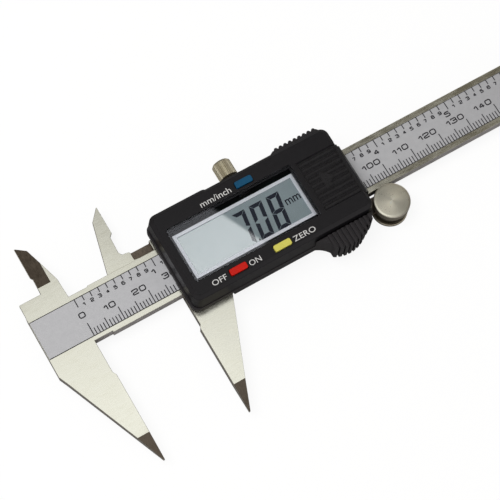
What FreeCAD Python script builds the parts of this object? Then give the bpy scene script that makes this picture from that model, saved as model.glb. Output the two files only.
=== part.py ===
import FreeCAD, Part
import math
import os

# Electronic caliper, 0 to 150 mm, lying on its back with the display up.
# Lengths are in mm. While modelling, x runs along the beam from the fixed measuring face,
# y runs across the beam towards the inside jaws and z = 0 is the front of the beam.

# Beam and the fixed head
beam_width = 16.0
beam_thick = 3.5
half_beam = beam_width / 2
beam_end_x = 221.4
head_left_x = -14.6
jaw_depth = 47.2
outer_jaw_width = 13.4
outer_jaw_shoulder = half_beam + 6.8
tip_start_y = 8.8 - jaw_depth
tip_start_width = 3.8
tip_flat = 0.4
tip_thin = 1.15
face_relief = 0.65
face_start_y = -19.3
inside_tip_y = 28.65
inside_edge_x = -7.85
inside_edge_y = 18.6
half_gap = 0.1

# Scale strip let into the beam
recess_low_y = -6.3
recess_high_y = 6.2
recess_deep = 0.9
strip_gap = 0.05
label_thick = 0.17
label_drop = 0.03

# Slider: opening at rest, rails and bridges
opening = 27.3
slide_gap = 0.05
rail_end_x = 88.0
rail_out_y = half_beam + 5.6
rail_top = 0.3
bridge_top = 1.6
gib_thick = 1.15
gib_gap = 0.04
plate_thick = 1.2
plate_half = rail_out_y - 1.0

# Depth rod
rod_wide = 3.2
rod_thick = 1.3
rod_gap = 0.1
rod_left_x = 74.0
rod_pin_x = 80.0
rod_pin_r = 0.8

# Thumb roller
roller_x = 95.9
roller_r = 5.55
roller_front_z = 1.4
roller_disc = 2.8
roller_back_z = -6.4
roller_back_disc = 1.2
neck_r = 3.0
stub_r = 1.5
bracket_thick = 1.0

# Lock screw
lock_x = 58.2
lock_r = 3.0
lock_head_low = rail_out_y + 3.3
lock_head_high = lock_head_low + 6.1
lock_shank_r = 1.2

# Housing
house_left = 28.8
house_right = 88.6
house_low = -rail_out_y - 0.75
house_high = rail_out_y + 0.85
house_shoulder = house_high + 0.4
house_shoulder_x = 49.2
house_front = 9.0
house_chamfer = 1.1
house_draft = 0.4
house_corner = 2.4
split_z = 2.0
split_gap = 0.05
skirt_z = -1.8
roof_under = 7.0
inner_left = 30.2
inner_right = 87.2
inner_half = rail_out_y - 0.3
base_left = 27.9
base_right = 89.3
base_low = -rail_out_y - 1.35
base_high = rail_out_y + 1.35
grip_top = 6.2

# Window and display
window_left = 31.8
window_long = 41.5
window_low = -9.2
window_wide = 18.0
ledge = 0.45
ledge_z = 7.7
lens_thick = 1.0
lcd_left = 32.95
lcd_long = 40.2
lcd_low = -7.6
lcd_wide = 14.75
lcd_top = 5.7
lcd_rim = 1.0
lcd_metal = 0.4
board_left = 32.2
board_right = 75.0
board_half = rail_out_y - 0.7
board_low = 0.35
board_thick = 0.95

# Buttons
button_long = 5.5
button_wide = 2.0
button_rise = 0.6
button_gap = 0.12
button_travel = 0.5
unit_at = (58.8, 10.6)
power_at = (44.1, -11.8)
zero_at = (58.7, -11.85)

# Battery and its cover
cell_x = 81.1
cell_y = -0.5
cell_r = 5.8
cell_high = 5.4
cell_low = 2.08
door_left = 74.9
door_low = -9.0
door_high = 8.0
door_gap = 0.1
door_thick = 1.3
door_end = 90.2
rib_pitch = 1.12
rib_count = 14

# Screws
screw_r = 0.75
screw_gap = 0.03
screw_head_r = 1.35
screw_y = half_beam + 3.4
low_screw_y = -half_beam - 2.8
house_screws = [(36.0, screw_y), (36.0, -screw_y), (74.0, screw_y), (74.0, -screw_y)]
plate_screws = [(31.4, screw_y), (31.4, low_screw_y), (84.5, screw_y), (69.0, low_screw_y)]
bracket_screws = [(81.0, low_screw_y), (85.5, low_screw_y)]
gib_screw_x = [43.0, 67.0]
stop_screws = [(217.0, 4.8), (217.0, -4.8)]

back_z = -beam_thick
roller_y = -half_beam - roller_r - slide_gap
mid_z = back_z / 2
rod_tip_x = beam_end_x + opening
shift = FreeCAD.Vector(
    -(head_left_x + rod_tip_x) / 2,
    (jaw_depth - inside_tip_y) / 2,
    -roller_back_z,
)


def box(x0, x1, y0, y1, z0, z1):
    return Part.makeBox(x1 - x0, y1 - y0, z1 - z0, FreeCAD.Vector(x0, y0, z0))


def post(x, y, z0, z1, r):
    return Part.makeCylinder(r, z1 - z0, FreeCAD.Vector(x, y, z0))


def bar_y(x, z, y0, y1, r):
    return Part.makeCylinder(r, y1 - y0, FreeCAD.Vector(x, y0, z), FreeCAD.Vector(0, 1, 0))


def plate(points, z0, z1):
    corners = [FreeCAD.Vector(x, y, z0) for x, y in points]
    face = Part.Face(Part.makePolygon(corners + corners[:1]))
    return face.extrude(FreeCAD.Vector(0, 0, z1 - z0))


def side_plate(points, y0, y1):
    corners = [FreeCAD.Vector(x, y0, z) for x, z in points]
    face = Part.Face(Part.makePolygon(corners + corners[:1]))
    return face.extrude(FreeCAD.Vector(0, y1 - y0, 0))


def end_plate(points, x0, x1):
    corners = [FreeCAD.Vector(x0, y, z) for y, z in points]
    face = Part.Face(Part.makePolygon(corners + corners[:1]))
    return face.extrude(FreeCAD.Vector(x1 - x0, 0, 0))


def round_wire(x0, x1, y0, y1, z, r):
    k = r * (1 - math.sqrt(0.5))
    corners = [
        ((x1 - r, y0), (x1 - k, y0 + k), (x1, y0 + r)),
        ((x1, y1 - r), (x1 - k, y1 - k), (x1 - r, y1)),
        ((x0 + r, y1), (x0 + k, y1 - k), (x0, y1 - r)),
        ((x0, y0 + r), (x0 + k, y0 + k), (x0 + r, y0)),
    ]
    edges = []
    for i in range(4):
        a, b, c = [FreeCAD.Vector(p[0], p[1], z) for p in corners[i]]
        d = corners[(i + 1) % 4][0]
        edges.append(Part.Arc(a, b, c).toShape())
        edges.append(Part.makeLine(c, FreeCAD.Vector(d[0], d[1], z)))
    return Part.Wire(edges)


def round_box(x0, x1, y0, y1, z0, z1, r):
    face = Part.Face(round_wire(x0, x1, y0, y1, z0, r))
    return face.extrude(FreeCAD.Vector(0, 0, z1 - z0))


def join(shapes):
    return shapes[0].multiFuse(shapes[1:]).removeSplitter()


def save(shape, name):
    moved = shape.copy()
    moved.translate(shift)
    moved.exportStep("parts/" + name + ".step")


def screw(x, y, head_low, head_high, tip, head_r):
    head = post(x, y, head_low, head_high, head_r)
    slot = box(x - head_r, x + head_r, y - 0.15, y + 0.15, head_low - 1, head_low + 0.3)
    return join([head, post(x, y, head_high - 0.1, tip, screw_r)]).cut(slot)


# Jaws shared by the fixed head and the slider

def outside_jaw(face_x, away):
    points = [
        (face_x + away * face_relief, -half_beam + 0.5),
        (face_x + away * face_relief, face_start_y + 1.1),
        (face_x, face_start_y),
        (face_x, -jaw_depth),
        (face_x + away * tip_flat, -jaw_depth),
        (face_x + away * tip_start_width, tip_start_y),
        (face_x + away * outer_jaw_width, -outer_jaw_shoulder),
        (face_x + away * outer_jaw_width, -half_beam + 0.5),
    ]
    jaw = plate(points, back_z, 0)
    front = [(tip_start_y, 1), (tip_start_y, 0), (-jaw_depth - 1, -tip_thin), (-jaw_depth - 1, 1)]
    rear = [(y, back_z - z) for y, z in front]
    for points in (front, rear):
        jaw = jaw.cut(end_plate(points, face_x - 20, face_x + 20))
    return jaw


def knife(edge_x, away, z_edge, z_face, low_y):
    # wedge of material ground off an inside jaw, outwards from z_edge, to leave its knife edge
    beyond = z_face + math.copysign(1, z_face - z_edge)
    points = [
        (edge_x - away * 0.5, z_edge),
        (edge_x, z_edge),
        (edge_x + away * 4.6, z_face),
        (edge_x + away * 4.6, beyond),
        (edge_x - away * 0.5, beyond),
    ]
    return side_plate(points, low_y, inside_tip_y + 1)


def make_beam():
    bar = box(-1.0, beam_end_x, -half_beam, half_beam, back_z, 0)
    head = box(head_left_x, 0, -half_beam, half_beam, back_z, 0)
    cheek_points = [
        (head_left_x, -half_beam),
        (head_left_x, -half_beam - 4.1),
        (-outer_jaw_width, -outer_jaw_shoulder),
        (-outer_jaw_width + 2, -half_beam),
    ]
    cheek = plate(cheek_points, back_z, 0)
    front_half = mid_z + half_gap / 2
    stub_top = half_beam + 4.3
    stub = box(head_left_x + 0.1, inside_edge_x + 1.0, half_beam - 1, stub_top, front_half, 0)
    blade_points = [
        (inside_edge_x + 0.2, half_beam - 1),
        (inside_edge_x + 0.5, inside_edge_y - 0.8),
        (inside_edge_x, inside_edge_y),
        (inside_edge_x, inside_tip_y),
        (inside_edge_x + 0.3, inside_tip_y),
        (inside_edge_x + 3.1, 26.2),
        (inside_edge_x + 6.65, 14.1),
        (inside_edge_x + 6.95, half_beam - 1),
    ]
    blade = plate(blade_points, front_half, 0)
    blade = blade.cut(knife(inside_edge_x, 1, mid_z + 0.35, 0, 14.3))
    body = join([bar, head, cheek, outside_jaw(0, -1), stub, blade])
    body = body.cut(box(-face_relief, 5.2, -half_beam - 0.1, -half_beam + 0.45, back_z - 1, 1))
    body = body.cut(box(-0.9, 5.2, half_beam - 0.3, half_beam + 0.1, back_z - 1, 1))
    body = body.cut(box(-20, beam_end_x + 1, recess_low_y, recess_high_y, -recess_deep, 1))
    groove_half = rod_wide / 2 + rod_gap
    groove_top = back_z + rod_thick + 2 * rod_gap
    body = body.cut(box(10, beam_end_x + 1, -groove_half, groove_half, back_z - 1, groove_top))
    for x, y in stop_screws:
        body = body.cut(post(x, y, back_z - 1, -1.3, screw_r + screw_gap))
    return body


def make_scale_strip(low, high):
    return box(
        head_left_x + 0.2, beam_end_x - 0.2,
        recess_low_y + strip_gap, recess_high_y - strip_gap, low, high,
    )


def make_end_stop_screws():
    low = back_z - 1.0
    return [screw(x, y, low - 0.7, low, -1.5, 1.3) for x, y in stop_screws]


def make_end_stop():
    stop = round_box(214.5, 219.5, -6.6, 6.6, back_z - 1.0, back_z, 0.8)
    for x, y in stop_screws:
        stop = stop.cut(post(x, y, back_z - 2, 0, screw_r + screw_gap))
    return stop


# Slider

def make_slider_frame():
    back = back_z - slide_gap
    edge = half_beam + slide_gap
    gib_out = edge + gib_thick + gib_gap
    low_rail = box(opening + face_relief, rail_end_x, -rail_out_y, -edge, back, 0)
    low_step = box(29.4, rail_end_x, -rail_out_y, -edge, -0.5, rail_top)
    top_rail = box(opening + 0.1, rail_end_x, edge, rail_out_y, back, 0)
    top_step = box(29.4, rail_end_x, edge, rail_out_y, -0.5, rail_top)
    left_bridge = box(29.4, 32.0, -rail_out_y, rail_out_y, rail_top - 0.05, bridge_top)
    right_bridge = box(75.6, rail_end_x, -rail_out_y, rail_out_y, rail_top - 0.05, bridge_top)
    jaw = outside_jaw(opening, 1)
    edge_x = opening + inside_edge_x
    arm_top = mid_z - half_gap / 2
    arm_points = [
        (edge_x - 7.45, edge),
        (edge_x - 3.35, 25.0),
        (edge_x - 0.2, inside_tip_y),
        (edge_x, inside_tip_y),
        (edge_x, inside_edge_y + 0.7),
        (edge_x - 1.0, inside_edge_y - 0.2),
        (edge_x - 1.2, half_beam + 5.1),
        (edge_x - 0.6, half_beam + 4.0),
        (edge_x + 1.4, half_beam + 3.7),
        (edge_x + 1.8, half_beam + 3.2),
        (opening + 3, half_beam + 3.2),
        (opening + 3, edge),
    ]
    arm = plate(arm_points, back_z, arm_top)
    arm = arm.cut(knife(edge_x, -1, arm_top - 0.35, back_z, 14.3))
    arm = arm.cut(box(edge_x + 1.8, opening, edge + 0.8, 12, arm_top - 0.4, 1))
    body = join([low_rail, low_step, top_rail, top_step, left_bridge, right_bridge, jaw, arm])
    body = body.cut(box(opening - 1, 29.0, half_beam + 3.3, rail_out_y + 1, back - 1, 1))
    body = body.cut(box(30.3, 87.0, edge - 1, gib_out, back - 1, rail_top - 0.05))
    body = body.cut(box(opening - 1, rail_end_x + 1, -edge, edge, back - 1, rail_top - 0.05))
    for x, y in house_screws:
        body = body.cut(post(x, y, back - 1, 3, screw_r + screw_gap))
        body = body.cut(post(x, y, back - 1, back + 1.0, screw_head_r + 0.1))
    for x, y in plate_screws + bracket_screws:
        body = body.cut(post(x, y, back - 1, -1.1, screw_r + screw_gap))
    body = body.cut(bar_y(lock_x, mid_z, edge, rail_out_y + 1, lock_shank_r + 0.05))
    for x in gib_screw_x:
        body = body.cut(bar_y(x, mid_z, edge, rail_out_y + 1, 0.95))
    return body


def make_gib_strip():
    edge = half_beam + slide_gap
    return box(30.5, 86.8, edge, edge + gib_thick, back_z + 0.05, -0.05)


def make_gib_screws():
    low = half_beam + slide_gap + gib_thick + gib_gap + 0.01
    screws = []
    for x in gib_screw_x:
        shank = bar_y(x, mid_z, low, rail_out_y - 0.4, 0.92)
        screws.append(shank.cut(box(x - 1, x + 1, rail_out_y - 0.8, rail_out_y, mid_z - 0.15, mid_z + 0.15)))
    return screws


def make_back_plate():
    top = back_z - slide_gap
    low = top - plate_thick
    body = round_box(29.6, rail_end_x + 0.4, -plate_half, plate_half, low, top, 1.0)
    body = body.cut(box(78.2, 95, -20, -half_beam - 0.3, low - 1, top + 1))
    for x, y in plate_screws:
        body = body.cut(post(x, y, low - 1, top + 1, screw_r + screw_gap))
        body = body.cut(post(x, y, low - 1, low + 0.65, screw_head_r + 0.05))
    return body.cut(post(rod_pin_x, 0, low - 1, top + 1, rod_pin_r + screw_gap))


def make_plate_screws():
    low = back_z - slide_gap - plate_thick
    return [screw(x, y, low + 0.02, low + 0.62, -1.3, screw_head_r) for x, y in plate_screws]


def make_depth_rod():
    low = back_z + rod_gap
    high = low + rod_thick
    body = box(rod_left_x, rod_tip_x, -rod_wide / 2, rod_wide / 2, low, high)
    body = body.cut(box(rod_tip_x - 3.5, rod_tip_x + 1, -rod_wide, -rod_wide / 2 + 1.2, low - 1, high + 1))
    return body.cut(post(rod_pin_x, 0, low - 1, high + 1, rod_pin_r + screw_gap))


def make_depth_rod_pin():
    low = back_z - slide_gap - plate_thick + 0.05
    return post(rod_pin_x, 0, low, back_z + rod_gap + rod_thick - 0.1, rod_pin_r)


def make_roller_bracket():
    top = back_z - slide_gap
    low = top - bracket_thick
    ring = post(roller_x, roller_y, low, top, neck_r + 1.6)
    arm = box(78.6, roller_x, -rail_out_y + 0.3, -half_beam - 0.5, low, top)
    body = join([ring, arm]).cut(post(roller_x, roller_y, low - 1, top + 1, neck_r + 0.06))
    for x, y in bracket_screws:
        body = body.cut(post(x, y, low - 1, top + 1, screw_r + screw_gap))
    return body


def make_bracket_screws():
    low = back_z - slide_gap - bracket_thick
    return [screw(x, y, low - 0.6, low, -1.3, screw_head_r) for x, y in bracket_screws]


def make_thumb_roller():
    low = roller_front_z - roller_disc
    disc = post(roller_x, roller_y, low, roller_front_z, roller_r)
    disc = disc.makeChamfer(0.2, disc.Edges)
    neck_low = roller_back_z + roller_back_disc
    neck = post(roller_x, roller_y, neck_low, low + 0.1, neck_r)
    return join([disc, neck, post(roller_x, roller_y, roller_back_z + 0.1, neck_low + 0.1, stub_r)])


def make_roller_back_disc():
    disc = post(roller_x, roller_y, roller_back_z, roller_back_z + roller_back_disc, roller_r)
    disc = disc.makeChamfer(0.2, disc.Edges)
    return disc.cut(post(roller_x, roller_y, roller_back_z - 1, 0, stub_r + 0.01))


def make_lock_screw():
    head = bar_y(lock_x, mid_z, lock_head_low, lock_head_high, lock_r)
    head = head.makeChamfer(0.6, head.Edges)
    cuts = []
    for i in range(22):
        floor = mid_z + lock_r - 0.18
        notch = box(lock_x - 0.16, lock_x + 0.16, lock_head_low - 1, lock_head_high + 1, floor, floor + 1)
        notch.rotate(FreeCAD.Vector(lock_x, 0, mid_z), FreeCAD.Vector(0, 1, 0), i * 360 / 22)
        cuts.append(notch)
    tip = half_beam + slide_gap + gib_thick + gib_gap + 0.02
    shank = bar_y(lock_x, mid_z, tip, lock_head_low + 0.5, lock_shank_r)
    return join([head.cut(Part.makeCompound(cuts)), shank])


# Housing

def drafted_block(x0, x1, y0, y1):
    d = house_draft
    c = house_chamfer
    rim_z = house_front - c
    low = round_wire(x0 - d, x1 + d, y0 - d, y1 + d, split_z + split_gap, house_corner)
    rim = round_wire(x0, x1, y0, y1, rim_z, house_corner)
    top = round_wire(x0 + c, x1 - c, y0 + c, y1 - c, house_front, house_corner - 0.7 * c)
    return Part.makeLoft([low, rim], True, True).fuse(Part.makeLoft([rim, top], True, True))


def button_hole(at, gap, z0, z1):
    return round_box(
        at[0] - button_long / 2 - gap, at[0] + button_long / 2 + gap,
        at[1] - button_wide / 2 - gap, at[1] + button_wide / 2 + gap, z0, z1, 0.5,
    )


def make_housing_cover():
    main = drafted_block(house_left, house_right, house_low, house_high)
    shoulder = drafted_block(house_left, house_shoulder_x, house_low, house_shoulder)
    body = join([main, shoulder])
    floor = split_z + split_gap - 1
    body = body.cut(box(inner_left, inner_right, -inner_half, inner_half, floor, roof_under))
    for x, y in house_screws:
        body = body.fuse(post(x, y, split_z + split_gap, roof_under + 0.2, 1.5))
        body = body.cut(post(x, y, 0, 5.2, screw_r + screw_gap))
    window = round_box(
        window_left, window_left + window_long,
        window_low, window_low + window_wide, ledge_z, 10, 0.5,
    )
    light = round_box(
        window_left + ledge, window_left + window_long - ledge,
        window_low + ledge, window_low + window_wide - ledge, roof_under - 1, 10, 0.3,
    )
    body = body.cut(window).cut(light)
    for at in (unit_at, power_at, zero_at):
        body = body.cut(button_hole(at, button_gap, roof_under - 1, 10))
    under = house_front - door_thick - 0.1
    body = body.cut(box(door_left, 95, door_low, door_high, under, 10))
    body = body.cut(box(door_left, inner_right, door_low, door_high, roof_under - 1, 10))
    body = body.cut(box(door_left, 95, door_low - 0.8, door_high + 0.8, under, under + 0.75))
    return body.cut(box(88.8, 95, door_low, door_high, 0, 10))


def thumb_block(inset, top):
    points = [
        FreeCAD.Vector(67.0 + inset, base_low + 0.4, skirt_z),
        FreeCAD.Vector(70.0 + inset, base_low - 1.65 + inset, skirt_z),
        FreeCAD.Vector(72.3 + inset, base_low - 4.55 + inset, skirt_z),
        FreeCAD.Vector(76.6, base_low - 5.85 + inset, skirt_z),
        FreeCAD.Vector(83.0 - inset, base_low - 4.05 + inset, skirt_z),
        FreeCAD.Vector(87.7 - inset, base_low - 1.25 + inset, skirt_z),
        FreeCAD.Vector(88.3 - inset, base_low + 0.4, skirt_z),
    ]
    edges = [
        Part.Arc(points[0], points[1], points[2]).toShape(),
        Part.Arc(points[2], points[3], points[4]).toShape(),
        Part.makeLine(points[4], points[5]),
        Part.makeLine(points[5], points[6]),
        Part.makeLine(points[6], points[0]),
    ]
    return Part.Face(Part.Wire(edges)).extrude(FreeCAD.Vector(0, 0, top - skirt_z))


def make_housing_base():
    inner = box(base_left + 1.5, base_right - 1.0, -rail_out_y - 0.1, rail_out_y + 0.1, -5, 5)
    outer = round_box(base_left, base_right, base_low, base_high, skirt_z, split_z, house_corner)
    tongue = box(base_right - 1.2, door_end, door_low, door_high, rail_top, split_z)
    ring = join([outer, tongue]).cut(inner)
    ring = ring.cut(box(0, 100, -rail_out_y - 0.1, rail_out_y + 0.1, -5, rail_top))
    ring = ring.cut(box(0, opening + outer_jaw_width + 0.6, -20, 0, -5, 0.06))
    ring = ring.cut(box(0, 29.4, 0, 20, -5, 0.06))
    ring = ring.cut(bar_y(lock_x, mid_z, 10, 20, lock_shank_r + 0.4))
    slabs = [box(72.15 + 1.5 * i, 73.1 + 1.5 * i, -25, base_low + 0.2, -5, 10) for i in range(10)]
    ribs = thumb_block(0, grip_top).common(Part.makeCompound(slabs))
    rest = join([thumb_block(0.5, grip_top - 0.5), ribs])
    clear = box(60, 95, base_low + 0.1, 0, split_z, 10)
    teeth = [post(73.0 + 1.6 * i, base_high + 0.75, skirt_z, grip_top, 0.6) for i in range(9)]
    pad_points = [
        (69.8, base_high - 0.4),
        (71.8, base_high + 0.75),
        (86.6, base_high + 0.75),
        (87.6, base_high - 0.4),
    ]
    pad = plate(pad_points, skirt_z, grip_top)
    pad_clear = box(60, 95, 0, base_high - 0.1, split_z, 10)
    return join([ring, rest.cut(clear), join([pad] + teeth).cut(pad_clear)])


def make_housing_screws():
    low = back_z - slide_gap + 0.02
    return [screw(x, y, low, low + 0.95, 5.0, screw_head_r) for x, y in house_screws]


def make_display_lens():
    g = 0.05
    return round_box(
        window_left + g, window_left + window_long - g,
        window_low + g, window_low + window_wide - g, ledge_z, ledge_z + lens_thick, 0.45,
    )


def make_lcd_frame():
    x1 = lcd_left + lcd_long
    y1 = lcd_low + lcd_wide
    m = lcd_metal
    body = box(lcd_left, x1, lcd_low, y1, board_low + board_thick + 0.02, lcd_top)
    body = body.cut(box(lcd_left + m, x1 - m, lcd_low + m, y1 - m, 0, lcd_top - m))
    return body.cut(box(lcd_left + lcd_rim, x1 - lcd_rim, lcd_low + lcd_rim, y1 - lcd_rim, 0, 10))


def make_lcd_panel():
    m = lcd_metal + 0.05
    high = lcd_top - lcd_metal - 0.03
    return box(lcd_left + m, lcd_left + lcd_long - m, lcd_low + m, lcd_low + lcd_wide - m, high - 1.3, high)


def make_zebra_strips():
    low = board_low + board_thick + 0.02
    high = lcd_top - lcd_metal - 1.35
    centre = lcd_low + lcd_wide / 2
    left = lcd_left + 1.2
    right = lcd_left + lcd_long - 1.2
    return [box(left, right, centre + y - 0.9, centre + y + 0.9, low, high) for y in (-5.6, 5.6)]


def make_circuit_board():
    body = box(board_left, board_right, -board_half, board_half, board_low, board_low + board_thick)
    for x, y in house_screws:
        body = body.cut(post(x, y, 0, 3, screw_r + 0.15))
    return body


def make_button_switches():
    low = board_low + board_thick + 0.02
    switches = []
    for x, y in (unit_at, power_at, zero_at):
        y = y - math.copysign(0.2, y)
        case = box(x - 2.0, x + 2.0, y - 1.2, y + 1.2, low, low + 0.95)
        switches.append(join([case, post(x, y, low + 0.9, low + 1.3, 0.8)]))
    return switches


def make_button(at):
    cap = button_hole(at, 0, roof_under - 0.5, house_front + button_rise)
    flange = round_box(
        at[0] - button_long / 2 - 0.6, at[0] + button_long / 2 + 0.6,
        at[1] - button_wide / 2 - 0.3, at[1] + button_wide / 2 + 0.3,
        roof_under - 0.8, roof_under - 0.05, 0.5,
    )
    rest_low = board_low + board_thick + 0.02 + 1.3 + button_travel + 0.05
    return join([cap, flange, post(at[0], at[1], rest_low, roof_under - 0.7, 0.8)])


def make_battery_tray():
    body = box(cell_x - cell_r + 0.3, inner_right - 0.1, -8.6, 7.6, bridge_top + 0.02, 6.9)
    pocket = post(cell_x, cell_y, bridge_top + 0.25, 10, cell_r + 0.06)
    return body.cut(pocket)


def make_battery_contacts():
    strip = box(cell_x - 4.5, cell_x + 4.5, cell_y - 1.2, cell_y + 1.2, bridge_top + 0.27, cell_low - 0.02)
    clip = box(cell_x - cell_r - 0.24, cell_x - cell_r - 0.04, cell_y - 2, cell_y + 2, bridge_top + 0.02, 6.5)
    return [strip, clip]


def make_battery_cell():
    body = post(cell_x, cell_y, cell_low, cell_low + cell_high, cell_r)
    return body.makeChamfer(0.3, body.Edges)


def make_battery_cover():
    g = door_gap
    low = house_front - door_thick
    profile = [
        (door_left + g, low),
        (door_left + g, house_front),
        (door_end - 3.2, house_front),
        (door_end, 4.8),
        (door_end, split_z + 0.4),
        (88.9, split_z + 0.4),
        (88.9, low),
    ]
    body = side_plate(profile, door_low + g, door_high - g)
    tongue = box(door_left + 0.6, 88.4, door_low - 0.7, door_high + 0.7, low, low + 0.55)
    grooves = []
    for i in range(rib_count):
        y = door_low + 1.1 + rib_pitch * i
        grooves.append(box(door_left + 0.6, door_end - 3.2, y, y + 0.5, house_front - 0.35, 10))
    arrow = plate([(79.2, 2.4), (79.2, -3.4), (82.6, -0.5)], 7.5, 10)
    return join([body, tongue]).cut(Part.makeCompound(grooves).cut(arrow))


os.makedirs("parts", exist_ok=True)

label_top = -label_drop
label_low = label_top - label_thick
save(make_beam(), "beam")
save(make_scale_strip(-recess_deep, label_low), "scale_circuit")
save(make_scale_strip(label_low, label_top), "scale_label")
save(make_end_stop(), "end_stop")
save(Part.makeCompound(make_end_stop_screws()), "end_stop_screws")
save(make_slider_frame(), "slider_frame")
save(make_gib_strip(), "gib_strip")
save(Part.makeCompound(make_gib_screws()), "gib_screws")
save(make_back_plate(), "back_plate")
save(Part.makeCompound(make_plate_screws()), "back_plate_screws")
save(make_depth_rod(), "depth_rod")
save(make_depth_rod_pin(), "depth_rod_pin")
save(make_roller_bracket(), "roller_bracket")
save(Part.makeCompound(make_bracket_screws()), "bracket_screws")
save(make_thumb_roller(), "thumb_roller")
save(make_roller_back_disc(), "roller_back_disc")
save(make_lock_screw(), "lock_screw")
save(make_housing_base(), "housing_base")
save(make_housing_cover(), "housing_cover")
save(Part.makeCompound(make_housing_screws()), "housing_screws")
save(make_display_lens(), "display_lens")
save(make_lcd_frame(), "lcd_frame")
save(make_lcd_panel(), "lcd_panel")
save(Part.makeCompound(make_zebra_strips()), "zebra_strips")
save(make_circuit_board(), "circuit_board")
save(Part.makeCompound(make_button_switches()), "button_switches")
save(make_button(unit_at), "unit_button")
save(make_button(power_at), "power_button")
save(make_button(zero_at), "zero_button")
save(make_battery_tray(), "battery_tray")
save(Part.makeCompound(make_battery_contacts()), "battery_contacts")
save(make_battery_cell(), "battery_cell")
save(make_battery_cover(), "battery_cover")
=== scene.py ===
import math

import bpy
from mathutils import Matrix, Vector


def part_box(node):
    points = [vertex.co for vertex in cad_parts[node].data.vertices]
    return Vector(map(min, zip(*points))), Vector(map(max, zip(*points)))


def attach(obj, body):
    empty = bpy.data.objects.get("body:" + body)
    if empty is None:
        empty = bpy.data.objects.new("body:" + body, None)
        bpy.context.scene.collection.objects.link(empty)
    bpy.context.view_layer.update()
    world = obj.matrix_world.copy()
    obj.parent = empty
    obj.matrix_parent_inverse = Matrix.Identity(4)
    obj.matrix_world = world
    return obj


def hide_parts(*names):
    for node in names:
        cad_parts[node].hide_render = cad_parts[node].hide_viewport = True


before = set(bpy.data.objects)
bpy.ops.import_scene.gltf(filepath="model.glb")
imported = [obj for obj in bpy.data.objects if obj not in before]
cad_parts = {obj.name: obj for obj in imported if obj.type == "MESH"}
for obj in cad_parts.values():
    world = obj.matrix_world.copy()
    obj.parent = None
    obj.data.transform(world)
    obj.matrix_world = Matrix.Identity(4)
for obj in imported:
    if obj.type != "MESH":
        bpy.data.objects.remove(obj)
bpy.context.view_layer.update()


# ---------------------------------------------------------------------------
# Beam with the fixed jaws: one bar of hardened stainless steel, ground flat on its
# faces and milled on its walls, with edges broken by a stone. The jaw tips and the
# knife edge are ground again afterwards, coarser and darker.

beam_low, beam_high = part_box("beam")
head_wide, jaw_long = 0.0146, 0.0472
scale_zero = Vector((beam_low.x + head_wide, beam_low.y + jaw_long, beam_high.z))


def at(x, y, z=0.0):
    """A place in mm: along the beam from the scale's zero, across it, and above its front."""
    return scale_zero + Vector((x, y, z)) / 1000


def only(part):
    """Selects this piece alone."""
    bpy.ops.object.select_all(action="DESELECT")
    part.select_set(True)
    bpy.context.view_layer.objects.active = part


def smooth(part, angle=30):
    """Shades round parts smooth and keeps flat faces flat."""
    only(part)
    bpy.ops.object.shade_smooth_by_angle(angle=math.radians(angle))
    even = part.modifiers.new("even", "WEIGHTED_NORMAL")
    even.keep_sharp = True
    even.weight = 80
    bpy.ops.object.modifier_apply(modifier="even")


def stoned_copy(node, name, edge, rounds=2, flat=False, turn=40):
    """A CAD part as one clean mesh, with its sharp edges broken by edge mm, and shaded smooth
    up to turn degrees. Where flat is set, the triangles of each flat face are joined first."""
    merge_within, coplanar, sharp = 0.000002, math.radians(0.6), math.radians(28)
    part = bpy.data.objects.new(name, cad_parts[node].data.copy())
    bpy.context.scene.collection.objects.link(part)
    part.data.materials.clear()
    only(part)
    bpy.ops.mesh.customdata_custom_splitnormals_clear()
    bpy.ops.object.mode_set(mode="EDIT")
    bpy.ops.mesh.select_all(action="SELECT")
    bpy.ops.mesh.remove_doubles(threshold=merge_within)
    if flat:
        bpy.ops.mesh.dissolve_limited(angle_limit=coplanar)
    bpy.ops.object.mode_set(mode="OBJECT")
    if edge:
        broken = part.modifiers.new("broken edge", "BEVEL")
        broken.limit_method = "ANGLE"
        broken.angle_limit = sharp
        broken.width = edge / 1000
        broken.segments = rounds
        broken.use_clamp_overlap = False
        bpy.ops.object.modifier_apply(modifier="broken edge")
    smooth(part, turn)
    return part


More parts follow.
